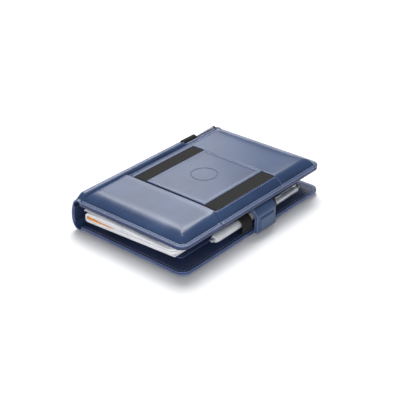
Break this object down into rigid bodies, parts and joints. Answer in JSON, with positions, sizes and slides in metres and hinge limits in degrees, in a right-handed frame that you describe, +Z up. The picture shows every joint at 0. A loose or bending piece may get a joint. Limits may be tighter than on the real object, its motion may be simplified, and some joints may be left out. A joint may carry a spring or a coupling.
{
  "type": "organiser with phone sleeve",
  "caption": "Closed leather organiser with a padded front phone sleeve over a charging pad, magnetic strap closure, notebook and pen in an elastic loop.",
  "frame": {"origin": "bottom centre of the closed organiser's bounding box, on the surface it lies on", "axes": "+X from the spine to the fore-edge, +Y from the tail edge to the head edge, +Z up through the front cover"},
  "size_m": [0.1553, 0.216, 0.044],
  "materials": {
    "navy_leather": "smooth coated leather, satin",
    "navy_lining": "matt lining leather",
    "black_elastic": "ribbed woven elastic",
    "grey_board": "greyboard",
    "white_foam": "soft foam",
    "white_paper": "uncoated paper",
    "orange_paper": "orange dyed paper",
    "white_card": "coated card",
    "silver_metal": "satin anodised",
    "black_plastic": "moulded, fine matt",
    "steel": "brushed",
    "copper_coil": "enamelled copper wire",
    "circuit_green": "solder mask",
    "cell_foil": "pouch foil",
    "ferrite": "sintered ferrite",
    "charger_plastic": "moulded ABS",
    "ink_plastic": "moulded"
  },
  "bodies": {
    "back_cover": {"back_outer_leather": "navy_leather", "back_padding": "white_foam", "back_board": "grey_board", "back_lining": "navy_lining", "holder_panel": "navy_lining", "keeper_tab": "navy_leather", "keeper_steel_plate": "steel", "pen_loop": "black_elastic"},
    "spine": {"spine_outer_leather": "navy_leather", "spine_board": "grey_board", "spine_lining": "navy_lining", "lower_fold_leather": "navy_leather", "upper_fold_leather": "navy_leather", "stylus_loop": "black_elastic"},
    "front_cover": {"pocket_panel": "navy_leather", "pocket_lip": "navy_leather", "fore_side_strip": "navy_leather", "head_panel": "navy_leather", "charger_tray": "charger_plastic", "charger_lid": "charger_plastic", "battery_cell": "cell_foil", "charger_circuit_board": "circuit_green", "ferrite_shield": "ferrite", "charging_coil": "copper_coil", "sleeve_floor": "navy_lining", "front_padding": "white_foam", "front_board": "grey_board", "front_lining": "navy_lining", "inner_pocket": "navy_lining", "strap_root": "navy_leather", "elastic_spine_side": "black_elastic", "elastic_fore_side": "black_elastic"},
    "phone_panel": {"phone_panel_leather": "navy_leather", "phone_panel_backing": "navy_lining"},
    "closing_strap": {"strap_inner_leather": "navy_leather", "strap_outer_leather": "navy_leather", "strap_stiffener": "grey_board", "strap_magnet": "steel", "strap_pull_pad": "navy_leather"},
    "notebook": {"notebook_cover": "white_card", "notebook_pages_lower": "white_paper", "divider_sheet": "orange_paper", "notebook_pages_upper": "white_paper", "loose_sheets": "white_paper"},
    "pen": {"pen_tip": "silver_metal", "pen_lower_barrel": "silver_metal", "pen_collar": "black_plastic", "pen_upper_barrel": "silver_metal", "pen_end_cap": "black_plastic", "pen_clip": "silver_metal", "pen_spring": "steel"},
    "pen_button": {"pen_button": "black_plastic", "pen_refill": "ink_plastic"},
    "stylus": {"stylus_barrel": "silver_metal", "stylus_tip": "silver_metal", "stylus_cap": "black_plastic"}
  },
  "joints": [
    {"name": "spine_fold", "type": "hinge", "parent": "back_cover", "child": "spine", "pos_m": [-0.0713, 0, 0.006], "axis": [0, -1, 0], "range_deg": [0, 88], "deforming": ["lower_fold_leather"]},
    {"name": "cover_fold", "type": "hinge", "parent": "spine", "child": "front_cover", "pos_m": [-0.0693, 0, 0.037], "axis": [0, -1, 0], "range_deg": [0, 92], "deforming": ["upper_fold_leather"]},
    {"name": "strap_fold", "type": "hinge", "parent": "front_cover", "child": "closing_strap", "pos_m": [0.0718, 0.0095, 0.029], "axis": [0, -1, 0], "range_deg": [0, 95]},
    {"name": "phone_panel_lift", "type": "hinge", "parent": "front_cover", "child": "phone_panel", "pos_m": [0.0047, 0.0443, 0.0423], "axis": [1, 0, 0], "range_deg": [-7, 0], "stiffness_Nm_per_rad": 0.05, "deforming": ["elastic_spine_side", "elastic_fore_side"]},
    {"name": "notebook_slide", "type": "slide", "parent": "back_cover", "child": "notebook", "axis": [0, 1, 0], "range_m": [0, 0.21]},
    {"name": "pen_slide", "type": "slide", "parent": "back_cover", "child": "pen", "axis": [0, 1, 0], "range_m": [0, 0.14]},
    {"name": "pen_button_press", "type": "slide", "parent": "pen", "child": "pen_button", "axis": [0, -1, 0], "range_m": [0, 0.003], "stiffness_N_per_m": 300, "deforming": ["pen_spring"]},
    {"name": "stylus_slide", "type": "slide", "parent": "spine", "child": "stylus", "axis": [0, 1, 0], "range_m": [0, 0.06]}
  ]
}
